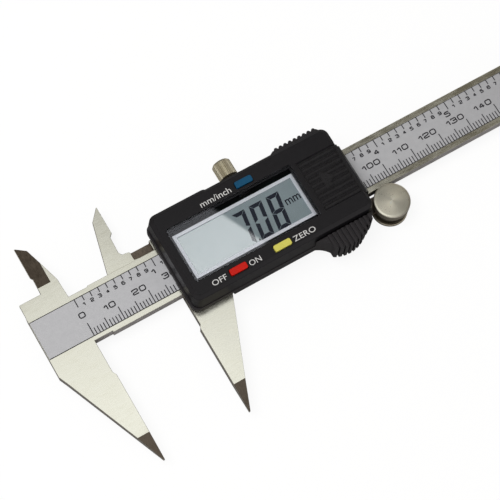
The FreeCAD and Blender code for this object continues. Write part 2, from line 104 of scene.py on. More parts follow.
def finish(
    name, light, dark, metal, rough, grain, depth, stretch=(1, 1, 1), specular=0.5, ior=1.5,
):
    """Two shades mixed by a grain of that size in mm, over patches ten times as wide, which
    also vary the roughness. The grain stands up by depth mm, and is drawn out by stretch."""
    patch_share, grain_low, grain_high = 0.4, 0.35, 0.65
    material = bpy.data.materials.new(name)
    material.use_nodes = True
    tree = material.node_tree
    shader = tree.nodes["Principled BSDF"]
    shader.inputs["Metallic"].default_value = metal
    shader.inputs["Specular IOR Level"].default_value = specular
    shader.inputs["IOR"].default_value = ior
    place = tree.nodes.new("ShaderNodeTexCoord")
    drawn = tree.nodes.new("ShaderNodeMapping")
    drawn.inputs["Scale"].default_value = stretch
    tree.links.new(place.outputs["Object"], drawn.inputs["Vector"])
    fine = tree.nodes.new("ShaderNodeTexNoise")
    fine.inputs["Scale"].default_value = 1000 / grain
    fine.inputs["Detail"].default_value = 3
    tree.links.new(drawn.outputs["Vector"], fine.inputs["Vector"])
    patch = tree.nodes.new("ShaderNodeTexNoise")
    patch.inputs["Scale"].default_value = 100 / grain
    tree.links.new(place.outputs["Object"], patch.inputs["Vector"])
    both = tree.nodes.new("ShaderNodeMix")
    both.inputs["Factor"].default_value = patch_share
    tree.links.new(fine.outputs["Fac"], both.inputs["A"])
    tree.links.new(patch.outputs["Fac"], both.inputs["B"])
    shades = tree.nodes.new("ShaderNodeValToRGB")
    shades.color_ramp.elements[0].position = grain_low
    shades.color_ramp.elements[0].color = (*dark, 1)
    shades.color_ramp.elements[1].position = grain_high
    shades.color_ramp.elements[1].color = (*light, 1)
    tree.links.new(both.outputs["Result"], shades.inputs["Fac"])
    tree.links.new(shades.outputs["Color"], shader.inputs["Base Color"])
    dull = tree.nodes.new("ShaderNodeMapRange")
    dull.inputs["From Min"].default_value = grain_low
    dull.inputs["From Max"].default_value = grain_high
    dull.inputs["To Min"].default_value = rough[0]
    dull.inputs["To Max"].default_value = rough[1]
    tree.links.new(both.outputs["Result"], dull.inputs["Value"])
    tree.links.new(dull.outputs["Result"], shader.inputs["Roughness"])
    relief = tree.nodes.new("ShaderNodeBump")
    relief.name = "relief"
    relief.inputs["Distance"].default_value = depth / 1000
    tree.links.new(fine.outputs["Fac"], relief.inputs["Height"])
    tree.links.new(relief.outputs["Normal"], shader.inputs["Normal"])
    return material


def face_finish(part, material, chosen):
    """Gives the faces that chosen(centre, normal) picks, in mm, their own finish."""
    part.data.materials.append(material)
    for face in part.data.polygons:
        if chosen((face.center - scale_zero) * 1000, face.normal):
            face.material_index = len(part.data.materials) - 1


def wall(centre, normal):
    """Picks the walls that stand up from the front face."""
    return abs(normal.z) < 0.3


def ground_again(head_end):
    """Picks the slopes at the jaw tips, and at the knife edge left of head_end, in mm."""
    tip_line, knife_line = -38.5, 14.4
    return lambda centre, normal: 0.85 < abs(normal.z) < 0.999 and (
        centre.y < tip_line or (centre.y > knife_line and centre.x < head_end)
    )


def lower_edge(centre, normal):
    """Picks the wall along the low side of the bar, right of the scale's zero, which carries a
    painted highlight.
    """
    return normal.y < -0.5 and abs(centre.y + 8) < 0.5 and centre.x > 0


ground_steel = finish(
    "ground_steel", (0.72, 0.72, 0.64), (0.555, 0.55, 0.475), 1.0, (0.17, 0.25),
    1.0, 0.00002, (0.35, 1.4, 1),
)
coarse_steel = finish(
    "coarse_ground_steel", (0.18, 0.15, 0.12), (0.105, 0.087, 0.068), 1.0, (0.34, 0.46),
    0.35, 0.004, (1, 0.4, 1),
)
wall_steel = finish(
    "wall_steel", (0.46, 0.42, 0.36), (0.35, 0.315, 0.27), 1.0, (0.30, 0.40), 0.5, 0.0003,
    (0.3, 1, 1.5),
)
# painted highlight: a lighter copy of the wall steel, laid on the low side wall right of the
# scale's zero
painted_highlight_steel = finish(
    "painted_highlight_steel", (0.80, 0.77, 0.76), (0.70, 0.67, 0.66), 1.0, (0.36, 0.46), 0.5, 0.0003,
    (0.3, 1, 1.5),
)
beam = stoned_copy("beam", "beam_ground", 0.1, turn=12)
beam.data.materials.append(ground_steel)
face_finish(beam, wall_steel, wall)
face_finish(beam, painted_highlight_steel, lower_edge)
face_finish(beam, coarse_steel, ground_again(-3))
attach(beam, "beam_body")
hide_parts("beam")


# ---------------------------------------------------------------------------
# Scale strip: the copper-patterned circuit that the slider reads, let into the
# beam, and the polyester film that covers it. Both are glued in. The film's colour
# carries a painted shade that darkens it towards its far end.


def shade_along(material, value, low, high, first, last):
    """Multiplies a finish's colour by first to last while value runs from low to high."""
    tree = material.node_tree
    colour = tree.nodes["Principled BSDF"].inputs["Base Color"]
    ramp = tree.nodes.new("ShaderNodeMapRange")
    limits = {"From Min": low, "From Max": high, "To Min": first, "To Max": last}
    for socket, number in limits.items():
        ramp.inputs[socket].default_value = number
    tree.links.new(value, ramp.inputs["Value"])
    shade = tree.nodes.new("ShaderNodeVectorMath")
    shade.operation = "SCALE"
    tree.links.new(colour.links[0].from_socket, shade.inputs[0])
    tree.links.new(ramp.outputs["Result"], shade.inputs["Scale"])
    tree.links.new(shade.outputs["Vector"], colour)


def node_finish(node, material):
    """A CAD part keeps its shape, and gets a finish."""
    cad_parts[node].data.materials.clear()
    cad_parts[node].data.materials.append(material)


board_green = finish(
    "board_green", (0.006, 0.016, 0.010), (0.004, 0.010, 0.007), 0.0, (0.4, 0.5), 0.4, 0.002,
    (1, 1, 1), 0.2,
)
label_film = finish(
    "label_film", (0.47, 0.475, 0.495), (0.415, 0.42, 0.44), 0.1, (0.36, 0.46),
    0.16, 0.0008, (1, 1, 1), 0.4,
)
# painted shade: the film's colour is made up to 17 % darker towards its far end, where the light
# falls off
darker_from, darker_to, far_painted_shade = -0.04, 0.03, 0.83
film_place = label_film.node_tree.nodes.new("ShaderNodeTexCoord")
film_along = label_film.node_tree.nodes.new("ShaderNodeSeparateXYZ")
label_film.node_tree.links.new(film_place.outputs["Object"], film_along.inputs["Vector"])
shade_along(label_film, film_along.outputs["X"], darker_from, darker_to, 1.0, far_painted_shade)
node_finish("scale_circuit", board_green)
node_finish("scale_label", label_film)


# ---------------------------------------------------------------------------
# Scale printing: border lines, a millimetre scale along the low edge and a
# tenth-inch scale along the high edge, in black screen ink that stands a hundredth
# or two of a millimetre proud of the film.

ink_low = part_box("scale_label")[1].z * 1000 - scale_zero.z * 1000
ink_thick = 0.015
tick_wide = 0.3
border_low, border_high = -6.2, 6.15
label_left, label_right = -14.3, 221.1
black_ink = finish(
    "black_ink", (0.035, 0.034, 0.04), (0.018, 0.018, 0.022), 0.0, (0.45, 0.6), 0.2, 0.001,
    (1, 1, 1), 0.3,
)


def flat_shape(name, outlines, low, thick, material):
    """Closed flat outlines in mm, filled, made solid and laid at height low."""
    curve = bpy.data.curves.new(name, "CURVE")
    curve.dimensions = "2D"
    curve.fill_mode = "BOTH"
    curve.extrude = thick / 2000
    for outline in outlines:
        line = curve.splines.new("POLY")
        line.points.add(len(outline) - 1)
        for point, (x, y) in zip(line.points, outline):
            place = at(x, y)
            point.co = (place.x, place.y, 0, 1)
        line.use_cyclic_u = True
    part = bpy.data.objects.new(name, curve)
    bpy.context.scene.collection.objects.link(part)
    only(part)
    bpy.ops.object.convert(target="MESH")
    part = bpy.context.view_layer.objects.active
    bpy.ops.object.mode_set(mode="EDIT")
    bpy.ops.mesh.select_all(action="SELECT")
    bpy.ops.mesh.remove_doubles(threshold=0.0000005)
    bpy.ops.mesh.normals_make_consistent(inside=False)
    bpy.ops.transform.translate(value=(0, 0, at(0, 0, low + thick / 2).z))
    bpy.ops.object.mode_set(mode="OBJECT")
    part.data.materials.clear()
    part.data.materials.append(material)
    return part


def bar(x0, x1, y0, y1):
    """The outline of one printed line or tick."""
    return [(x0, y0), (x1, y0), (x1, y1), (x0, y1)]


low_line_top, high_line_foot = border_low + 0.1, border_high - 0.1
ticks = [
    bar(label_left, label_right, border_low - 0.08, low_line_top),
    bar(label_left, label_right, high_line_foot, border_high + 0.04),
]
last_mm, last_tenth, tenth_inch = 150, 60, 2.54
ten_top, five_top, mm_top = -1.93, -2.95, -4.02
inch_foot, tenth_foot = 3.5, 4.55
for mm in range(last_mm + 1):
    top = ten_top if mm % 10 == 0 else five_top if mm % 5 == 0 else mm_top
    ticks.append(bar(mm - tick_wide / 2, mm + tick_wide / 2, low_line_top, top))
for tenth in range(last_tenth + 1):
    x = tenth * tenth_inch
    foot = inch_foot if tenth % 10 == 0 else tenth_foot
    ticks.append(bar(x - tick_wide / 2, x + tick_wide / 2, foot, high_line_foot))
scale_ticks = flat_shape("scale_ticks", ticks, ink_low, ink_thick, black_ink)
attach(scale_ticks, "beam_body")

# Numerals: wide, with rounded-square bowls. Each stroke is a line with a round
# section, made a mesh and pressed flat onto the film.

numeral_strokes = {
    "0": [([(0, 0), (1, 0), (1, 1), (0, 1)], True)],
    "1": [([(0, 0.62), (0.55, 1), (0.55, 0)], False)],
    "2": [([(0, 0.7), (0, 1), (1, 1), (1, 0.5), (0, 0.36), (0, 0), (1, 0)], False)],
    "3": [
        ([(0, 0.8), (0, 1), (1, 1), (1, 0.53), (0.3, 0.53)], False),
        ([(0.3, 0.53), (1, 0.53), (1, 0), (0, 0), (0, 0.22)], False),
    ],
    "4": [([(0.72, 0), (0.72, 1), (0, 0.27), (1, 0.27)], False)],
    "5": [([(1, 1), (0.05, 1), (0, 0.6), (1, 0.6), (1, 0), (0, 0), (0, 0.18)], False)],
    "6": [([(0.95, 0.8), (0.95, 1), (0, 1), (0, 0), (1, 0), (1, 0.56), (0, 0.56)], False)],
    "7": [([(0, 1), (1, 1), (0.3, 0)], False)],
    "8": [
        ([(0, 0), (1, 0), (1, 0.54), (0, 0.54)], True),
        ([(0.06, 0.54), (0.94, 0.54), (0.94, 1), (0.06, 1)], True),
    ],
    "9": [([(0.05, 0.2), (0.05, 0), (1, 0), (1, 1), (0, 1), (0, 0.44), (1, 0.44)], False)],
}
narrow_one = 0.68


def softened(points, closed, radius):
    """The stroke's line with its corners turned round a radius, where its length allows."""
    count = len(points)
    line = []
    for i, (x, y) in enumerate(points):
        if not closed and i in (0, count - 1):
            line.append((x, y))
            continue
        before, after = points[i - 1], points[(i + 1) % count]
        ways = []
        for px, py in (before, after):
            length = math.hypot(px - x, py - y)
            reach = min(radius, 0.45 * length)
            ways.append((x + (px - x) * reach / length, y + (py - y) * reach / length))
        for step in (0, 0.25, 0.5, 0.75, 1):
            a, b, c = (1 - step) ** 2, 2 * step * (1 - step), step ** 2
            line.append((
                a * ways[0][0] + b * x + c * ways[1][0],
                a * ways[0][1] + b * y + c * ways[1][1],
            ))
    return line


def add_number(curve, text, right, low, wide, high, stroke, gap, height):
    """Strokes of a number that ends at right and stands on low, in mm."""
    corner_share = 0.28
    widths = [wide * (narrow_one if digit == "1" else 1.0) for digit in text]
    left = right - sum(widths) - gap * (len(text) - 1)
    for digit, width in zip(text, widths):
        for points, closed in numeral_strokes[digit]:
            sized = [
                (left + stroke / 2 + x * (wide - stroke), low + stroke / 2 + y * (high - stroke))
                for x, y in points
            ]
            line = softened(sized, closed, corner_share * high)
            spline = curve.splines.new("POLY")
            spline.points.add(len(line) - 1)
            for point, (x, y) in zip(spline.points, line):
                point.co = (*at(x, y, height), 1)
            spline.use_cyclic_u = closed
        left += width + gap


def number_piece(name, numbers, wide, high, stroke, gap, height, material):
    """All numbers of one size, each (text, right end, low edge), pressed flat at that height."""
    flatness = 0.1
    curve = bpy.data.curves.new(name, "CURVE")
    curve.dimensions = "3D"
    curve.bevel_depth = stroke / 2000
    curve.bevel_resolution = 0
    curve.use_fill_caps = True
    for text, right, low in numbers:
        add_number(curve, text, right, low, wide, high, stroke, gap, height)
    part = bpy.data.objects.new(name, curve)
    bpy.context.scene.collection.objects.link(part)
    only(part)
    bpy.ops.object.convert(target="MESH")
    part = bpy.context.view_layer.objects.active
    bpy.ops.object.mode_set(mode="EDIT")
    bpy.ops.mesh.select_all(action="SELECT")
    bpy.ops.mesh.normals_make_consistent(inside=False)
    bpy.ops.transform.resize(
        value=(1, 1, flatness), orient_type="GLOBAL", center_override=at(0, 0, height),
    )
    bpy.ops.object.mode_set(mode="OBJECT")
    part.data.materials.clear()
    part.data.materials.append(material)
    return part


ink_mid = ink_low + 0.012
metric_numbers = number_piece(
    "metric_numbers",
    [("0", 0.85, -0.05)] + [(str(n), n - 0.13, -1.42) for n in range(10, last_mm + 1, 10)],
    2.08, 1.87, 0.38, 0.3, ink_mid, black_ink,
)
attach(metric_numbers, "beam_body")
inch_numbers = number_piece(
    "inch_numbers",
    [(str(n), 10 * tenth_inch * n - (0.75 if n == 1 else 0.2), 1.38) for n in range(1, 7)],
    1.95, 1.8, 0.38, 0.2, ink_mid, black_ink,
)
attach(inch_numbers, "beam_body")
tenth_numbers = number_piece(
    "tenth_numbers",
    [
        (str(tenth % 10), tenth_inch * tenth + (-0.2 if tenth % 10 == 1 else 0.1), 2.97)
        for tenth in range(1, last_tenth) if tenth % 10
    ],
    1.18, 1.25, 0.31, 0.2, ink_mid, black_ink,
)
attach(tenth_numbers, "beam_body")


# ---------------------------------------------------------------------------
# End stop: a small steel plate and two screws under the beam's end, which keep
# the slider on. The plate is satin stainless sheet, and the screws are nickel plated.

screw_steel = finish(
    "screw_steel", (0.62, 0.60, 0.55), (0.50, 0.48, 0.44), 1.0, (0.22, 0.34), 0.25, 0.002,
)
satin_steel = finish(
    "satin_steel", (0.52, 0.515, 0.47), (0.44, 0.435, 0.39), 1.0, (0.26, 0.34), 0.6, 0.0001,
    (0.3, 1.5, 1),
)


def dress(node, body, edge, material, rounds=2):
    """A CAD part with broken edges and its finish, on its body."""
    part = stoned_copy(node, node + "_finished", edge, rounds, flat=True)
    part.data.materials.append(material)
    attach(part, body)
    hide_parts(node)
    return part


dress("end_stop", "beam_body", 0.12, satin_steel)
dress("end_stop_screws", "beam_body", 0.08, screw_steel)


# ---------------------------------------------------------------------------
# Slider: the moving jaws, rails and bridges, in one piece of the same stainless
# steel as the beam. It is ground on its faces, milled rough in the pocket beside
# the beam, and ground again at the tips and the knife edge.


def pocket(centre, normal):
    """Picks the faces of the pocket beside the beam."""
    return 21 < centre.x < 30 and 8.2 < centre.y < 12.5 and centre.z < -0.3


milled_steel = finish(
    "milled_steel", (0.30, 0.25, 0.20), (0.13, 0.11, 0.09), 1.0, (0.4, 0.55), 0.5, 0.01,
    (1.4, 0.5, 1),
)
slider = stoned_copy("slider_frame", "slider_ground", 0.1, turn=12)
slider.data.materials.append(ground_steel)
face_finish(slider, wall_steel, wall)
face_finish(slider, coarse_steel, ground_again(20))
face_finish(slider, milled_steel, pocket)
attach(slider, "slider_body")
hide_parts("slider_frame")


# ---------------------------------------------------------------------------
# Gib: a brass strip between the slider's upper rail and the beam, and the two
# set screws that take up its play. Both are out of sight inside the slider.

gib_brass = finish(
    "gib_brass", (0.72, 0.52, 0.24), (0.60, 0.42, 0.18), 1.0, (0.26, 0.4), 0.4, 0.002,
    (0.3, 1.5, 1),
)
dress("gib_strip", "slider_body", 0.08, gib_brass)
dress("gib_screws", "slider_body", 0.06, screw_steel, 1)


# ---------------------------------------------------------------------------
# Back plate: satin stainless sheet, stamped and screwed under the slider with four
# slotted screws. It holds the depth rod in its groove.

dress("back_plate", "slider_body", 0.15, satin_steel)
dress("back_plate_screws", "slider_body", 0.08, screw_steel)


# ---------------------------------------------------------------------------
# Depth rod: a flat stainless steel rod in the groove of the beam's back, held at
# its root by a pin in the back plate. Its tip is notched to clear corner radii.

dress("depth_rod", "slider_body", 0.1, ground_steel)
dress("depth_rod_pin", "slider_body", 0.08, screw_steel)


# ---------------------------------------------------------------------------
# Roller bracket: a stamped arm of blued spring steel under the slider, fixed with
# two screws. Its ring is the bearing of the thumb roller.

spring_steel = finish(
    "spring_steel", (0.15, 0.125, 0.105), (0.10, 0.085, 0.072), 1.0, (0.3, 0.42), 0.4, 0.0005,
    (0.3, 1.5, 1),
)
dress("roller_bracket", "slider_body", 0.12, spring_steel)
dress("bracket_screws", "slider_body", 0.08, screw_steel)


# ---------------------------------------------------------------------------
# Thumb roller: a nickel-plated steel wheel turned on a lathe, with a fine knurl
# round its rim. Its neck runs in the bracket, and a second disc is riveted on
# behind. Its faces carry a painted highlight: lighter at the centre and along two lobes.

roller_low, roller_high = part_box("thumb_roller")
roller_mid = (roller_low + roller_high) / 2
roller_radius = (roller_high.x - roller_low.x) / 2
roller_teeth, roller_thick, tooth_floor = 104, 0.0024, 0.984
neck_radius, neck_long, stub_long = 0.003, 0.0039, 0.00115
roller_middle = Vector((roller_mid.x, roller_mid.y, roller_high.z - 0.0014))
neck_middle = Vector((roller_mid.x, roller_mid.y, roller_high.z - 0.0046))


def turned_finish(name, light, dark, rough, centre, anisotropy, painted_lobe_turn):
    """A lathe-turned metal face: rings round centre, and a painted highlight that makes the
    colour lighter at the centre and along two lobes round it, with painted shade between them."""
    ring_scale, ring_wander, ring_deep = 1300, 1.5, 0.0000002
    painted_highlight_radius, painted_highlight_end, painted_centre_highlight = 0.0003, 0.0036, 1.35
    painted_lobe_shade, painted_lobe_highlight = 0.62, 1.2
    material = finish(name, light, dark, 1.0, rough, 0.3, 0.00002)
    tree = material.node_tree
    shader = tree.nodes["Principled BSDF"]
    shader.inputs["Anisotropic"].default_value = anisotropy
    place = tree.nodes.new("ShaderNodeTexCoord")
    centred = tree.nodes.new("ShaderNodeVectorMath")
    centred.operation = "SUBTRACT"
    centred.inputs[1].default_value = centre
    tree.links.new(place.outputs["Object"], centred.inputs[0])
    around = tree.nodes.new("ShaderNodeVectorMath")
    around.operation = "CROSS_PRODUCT"
    around.inputs[0].default_value = (0, 0, 1)
    tree.links.new(centred.outputs["Vector"], around.inputs[1])
    tree.links.new(around.outputs["Vector"], shader.inputs["Tangent"])
    rings = tree.nodes.new("ShaderNodeTexWave")
    rings.wave_type = "RINGS"
    rings.rings_direction = "Z"
    rings.inputs["Scale"].default_value = ring_scale
    rings.inputs["Distortion"].default_value = ring_wander
    rings.inputs["Detail"].default_value = 2
    tree.links.new(centred.outputs["Vector"], rings.inputs["Vector"])
    cut = tree.nodes.new("ShaderNodeBump")
    cut.inputs["Distance"].default_value = ring_deep
    cut.inputs["Strength"].default_value = 0.6
    tree.links.new(rings.outputs["Fac"], cut.inputs["Height"])
    tree.links.new(tree.nodes["relief"].outputs["Normal"], cut.inputs["Normal"])
    tree.links.new(cut.outputs["Normal"], shader.inputs["Normal"])
    # painted highlight: the colour is made up to 1.35 times lighter near the centre
    reach = tree.nodes.new("ShaderNodeVectorMath")
    reach.operation = "LENGTH"
    tree.links.new(centred.outputs["Vector"], reach.inputs[0])
    shade_along(material, reach.outputs["Value"], painted_highlight_radius, painted_highlight_end, painted_centre_highlight, 1.0)
    # painted highlight and shade: two lobes round the centre, from 0.62 to 1.2 times the colour
    turn = tree.nodes.new("ShaderNodeTexGradient")
    turn.gradient_type = "RADIAL"
    tree.links.new(centred.outputs["Vector"], turn.inputs["Vector"])
    lobes = tree.nodes.new("ShaderNodeMath")
    lobes.operation = "MULTIPLY_ADD"
    lobes.inputs[1].default_value = 2 * math.tau
    lobes.inputs[2].default_value = painted_lobe_turn
    tree.links.new(turn.outputs["Fac"], lobes.inputs[0])
    swing = tree.nodes.new("ShaderNodeMath")
    swing.operation = "COSINE"
    tree.links.new(lobes.outputs["Value"], swing.inputs[0])
    shade_along(material, swing.outputs["Value"], -1, 1, painted_lobe_shade, painted_lobe_highlight)
    return material


def select_by(part, chosen):
    """Leaves the piece in edit mode with just the vertices that chosen(place) picks."""
    bpy.ops.object.mode_set(mode="OBJECT")
    for group in (part.data.polygons, part.data.edges, part.data.vertices):
        group.foreach_set("select", [False] * len(group))
    for vertex in part.data.vertices:
        vertex.select = chosen(vertex.co)
    bpy.ops.object.mode_set(mode="EDIT")


def pick_faces(part, chosen):
    """Leaves the piece in edit mode with just the faces that chosen(normal) picks."""
    bpy.ops.object.mode_set(mode="EDIT")
    bpy.ops.mesh.select_mode(type="FACE")
    bpy.ops.mesh.select_all(action="DESELECT")
    bpy.ops.object.mode_set(mode="OBJECT")
    for face in part.data.polygons:
        face.select = chosen(face.normal)
    bpy.ops.object.mode_set(mode="EDIT")


turned_nickel = turned_finish(
    "turned_nickel", (0.74, 0.72, 0.62), (0.66, 0.64, 0.55), (0.27, 0.32),
    (roller_mid.x, roller_mid.y, roller_high.z), 0.5, math.radians(300),
)
nickel_steel = finish(
    "nickel_steel", (0.50, 0.46, 0.37), (0.40, 0.365, 0.29), 1.0, (0.26, 0.36), 0.3, 0.0004,
)

bpy.ops.object.select_all(action="DESELECT")
bpy.ops.mesh.primitive_cylinder_add(
    vertices=2 * roller_teeth, radius=roller_radius, depth=roller_thick, end_fill_type="NGON",
    location=roller_middle,
)
roller = bpy.context.view_layer.objects.active
roller.name = "thumb_roller_turned"
bpy.ops.object.transform_apply(location=True, rotation=True, scale=True)


def between_teeth(place):
    """Whether a rim vertex is at the floor of the knurl, not on a tooth."""
    turn = math.atan2(place.y - roller_middle.y, place.x - roller_middle.x) / math.tau
    return round(turn * 2 * roller_teeth) % 2 == 1


select_by(roller, between_teeth)
bpy.ops.transform.resize(value=(tooth_floor, tooth_floor, 1), center_override=roller_middle)
# each face is a low dome: a share of the radius so far, and the rise to it
dome_steps = (
    (0.988, 0.00006), (0.975, 0.00005), (0.96, 0.00003), (0.93, 0.00001), (0.1, 0.000025),
)
for side in (1, -1):
    pick_faces(roller, lambda normal: normal.z * side > 0.9)
    for step, rise in dome_steps:
        bpy.ops.mesh.extrude_region_move(TRANSFORM_OT_translate={"value": (0, 0, side * rise)})
        bpy.ops.transform.resize(value=(step, step, 1), center_override=roller_middle)
bpy.ops.mesh.select_mode(type="VERT")
bpy.ops.object.mode_set(mode="OBJECT")
# the neck and the stub behind the disc, in one lathe turning
bpy.ops.object.select_all(action="DESELECT")
bpy.ops.mesh.primitive_cylinder_add(
    vertices=64, radius=neck_radius, depth=neck_long, end_fill_type="NGON",
    location=neck_middle,
)
neck = bpy.context.view_layer.objects.active
bpy.ops.object.transform_apply(location=True, rotation=True, scale=True)
pick_faces(neck, lambda normal: normal.z < -0.9)
bpy.ops.mesh.inset(thickness=neck_radius / 2)
bpy.ops.mesh.extrude_region_move(TRANSFORM_OT_translate={"value": (0, 0, -stub_long)})
bpy.ops.object.mode_set(mode="OBJECT")
only(roller)
neck.select_set(True)
bpy.ops.object.join()
roller.data.materials.clear()
roller.data.materials.append(turned_nickel)
face_finish(roller, nickel_steel, lambda centre, normal: abs(normal.z) < 0.4)
smooth(roller, 20)
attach(roller, "roller_body")
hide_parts("thumb_roller")
dress("roller_back_disc", "roller_body", 0.12, nickel_steel)


# ---------------------------------------------------------------------------
# Lock screw: a thumb screw with a straight-knurled head, turned from brass and
# nickel plated, with both ends of the head chamfered. It bears on the gib.

lock_low, lock_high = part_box("lock_screw")
lock_mid = (lock_low + lock_high) / 2
lock_radius = (lock_high.x - lock_low.x) / 2
lock_teeth, groove_floor = 26, 0.93
head_long, chamfer_long, chamfer_end = 0.0061, 0.00065, 0.78
lock_nickel = finish(
    "lock_nickel", (0.70, 0.66, 0.52), (0.56, 0.51, 0.38), 1.0, (0.24, 0.34), 0.3, 0.003,
    (1, 0.3, 1),
)
head_middle = Vector((lock_mid.x, lock_high.y - head_long / 2, lock_mid.z))
bpy.ops.object.select_all(action="DESELECT")
bpy.ops.mesh.primitive_cylinder_add(
    vertices=4 * lock_teeth, radius=lock_radius, depth=head_long - 2 * chamfer_long,
    end_fill_type="NGON", location=head_middle, rotation=(math.pi / 2, 0, 0),
)
lock = bpy.context.view_layer.objects.active
lock.name = "lock_screw_knurled"
bpy.ops.object.transform_apply(location=True, rotation=True, scale=True)


def in_groove(place):
    """Whether a rim vertex belongs to a groove of the knurl."""
    turn = math.atan2(place.z - head_middle.z, place.x - head_middle.x) / math.tau
    return round(turn * 4 * lock_teeth) % 4 in (0, 1)


select_by(lock, in_groove)
bpy.ops.transform.resize(value=(groove_floor, 1, groove_floor), center_override=head_middle)
for side in (1, -1):
    pick_faces(lock, lambda normal: normal.y * side > 0.9)
    bpy.ops.mesh.extrude_region_move(
        TRANSFORM_OT_translate={"value": (0, side * chamfer_long, 0)}
    )
    bpy.ops.transform.resize(value=(chamfer_end, 1, chamfer_end), center_override=head_middle)
    for step in (0.92, 0.56):
        bpy.ops.mesh.extrude_region_move(TRANSFORM_OT_translate={"value": (0, 0, 0)})
        bpy.ops.transform.resize(value=(step, 1, step), center_override=head_middle)
    if side < 0:
        bpy.ops.mesh.extrude_region_move(
            TRANSFORM_OT_translate={"value": (0, lock_low.y - (lock_high.y - head_long), 0)}
        )
bpy.ops.mesh.select_mode(type="VERT")
bpy.ops.object.mode_set(mode="OBJECT")
lock.data.materials.clear()
lock.data.materials.append(lock_nickel)
smooth(lock, 25)
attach(lock, "lock_screw_body")
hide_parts("lock_screw")


# ---------------------------------------------------------------------------
# Housing base: the lower half of the case, moulded in black ABS round the slider,
# with the ribbed thumb rest below and the round-toothed grip above. Its walls
# are a little duller than the cover.

case_plastic = finish(
    "case_plastic", (0.022, 0.020, 0.022), (0.016, 0.0145, 0.016), 0.0, (0.38, 0.48),
    0.22, 0.004, (1, 1, 1), 0.26,
)
dress("housing_base", "slider_body", 0.12, case_plastic)


# ---------------------------------------------------------------------------
# Electronics: the circuit board on the slider, its three push switches, and the
# rubber strips that press up against the display. The cover hides them.

switch_black = finish(
    "switch_black", (0.03, 0.03, 0.03), (0.018, 0.018, 0.018), 0.0, (0.4, 0.5), 0.3, 0.003,
)
contact_rubber = finish(
    "contact_rubber", (0.09, 0.085, 0.09), (0.05, 0.05, 0.055), 0.0, (0.6, 0.75), 0.25, 0.004,
    (6, 0.5, 0.5), 0.3,
)
node_finish("circuit_board", board_green)
node_finish("button_switches", switch_black)
node_finish("zebra_strips", contact_rubber)


# ---------------------------------------------------------------------------
# Display: a reflective liquid crystal glass in a pressed metal frame painted
# silver. The figures are seven-segment, leaning a little, with a point between
# the units and the tenths, and a small mm at the right.

panel_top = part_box("lcd_panel")[1].z
display_grey = finish(
    "display_grey", (0.29, 0.345, 0.37), (0.275, 0.33, 0.355), 0.0, (0.004, 0.012),
    0.5, 0.0, (1, 1, 1), 0.5, 2.95,
)
node_finish("lcd_panel", display_grey)
frame_silver = finish(
    "frame_silver", (0.78, 0.79, 0.86), (0.71, 0.72, 0.79), 0.35, (0.3, 0.4), 0.3, 0.002,
)
dress("lcd_frame", "slider_body", 0.08, frame_silver)
segment_dark = finish(
    "segment_dark", (0.022, 0.026, 0.038), (0.016, 0.019, 0.030), 0.0, (0.01, 0.02),
    0.5, 0.0, (1, 1, 1), 0.5, 2.2,
)
figure_high = (panel_top - scale_zero.z) * 1000
digit_wide, digit_low, digit_top = 4.2, -6.55, 4.4
digit_lean, segment_wide, segment_gap = 0.16, 1.24, 0.06
digit_lefts = {"7": 51.25, "0": 57.0, "8": 62.7}
lit_segments = {"7": "abc", "0": "abcdef", "8": "abcdefg"}


def segments(digit):
    """Outlines of the lit segments of one figure, leaning to the right."""
    w, h, s, g = digit_wide, digit_top - digit_low, segment_wide, segment_gap
    m = h / 2
    shapes = {
        "a": [(g, h), (w - g, h), (w - s - g, h - s), (s + g, h - s)],
        "d": [(s + g, s), (w - s - g, s), (w - g, 0), (g, 0)],
        "g": [(g + 0.1, m), (s + 0.1, m + s / 2), (w - s - 0.1, m + s / 2),
              (w - g - 0.1, m), (w - s - 0.1, m - s / 2), (s + 0.1, m - s / 2)],
        "f": [(0, h - g), (s, h - s - g), (s, m + s / 2 + g), (0, m + g)],
        "e": [(0, g), (s, s + g), (s, m - s / 2 - g), (0, m - g)],
        "b": [(w, h - g), (w - s, h - s - g), (w - s, m + s / 2 + g), (w, m + g)],
        "c": [(w, g), (w - s, s + g), (w - s, m - s / 2 - g), (w, m - g)],
    }
    left = digit_lefts[digit]
    return [
        [(left + x - digit_lean * (h - y), digit_low + y) for x, y in shapes[name]]
        for name in lit_segments[digit]
    ]


figure_outlines = [outline for digit in "708" for outline in segments(digit)]
point_x, point_y, point_wide, point_high = 54.75, -6.05, 0.36, 0.42
figure_outlines.append([
    (point_x - point_wide, point_y), (point_x, point_y - point_high),
    (point_x + point_wide, point_y), (point_x, point_y + point_high),
])
lcd_figures = flat_shape("lcd_figures", figure_outlines, figure_high, 0.012, segment_dark)
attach(lcd_figures, "slider_body")


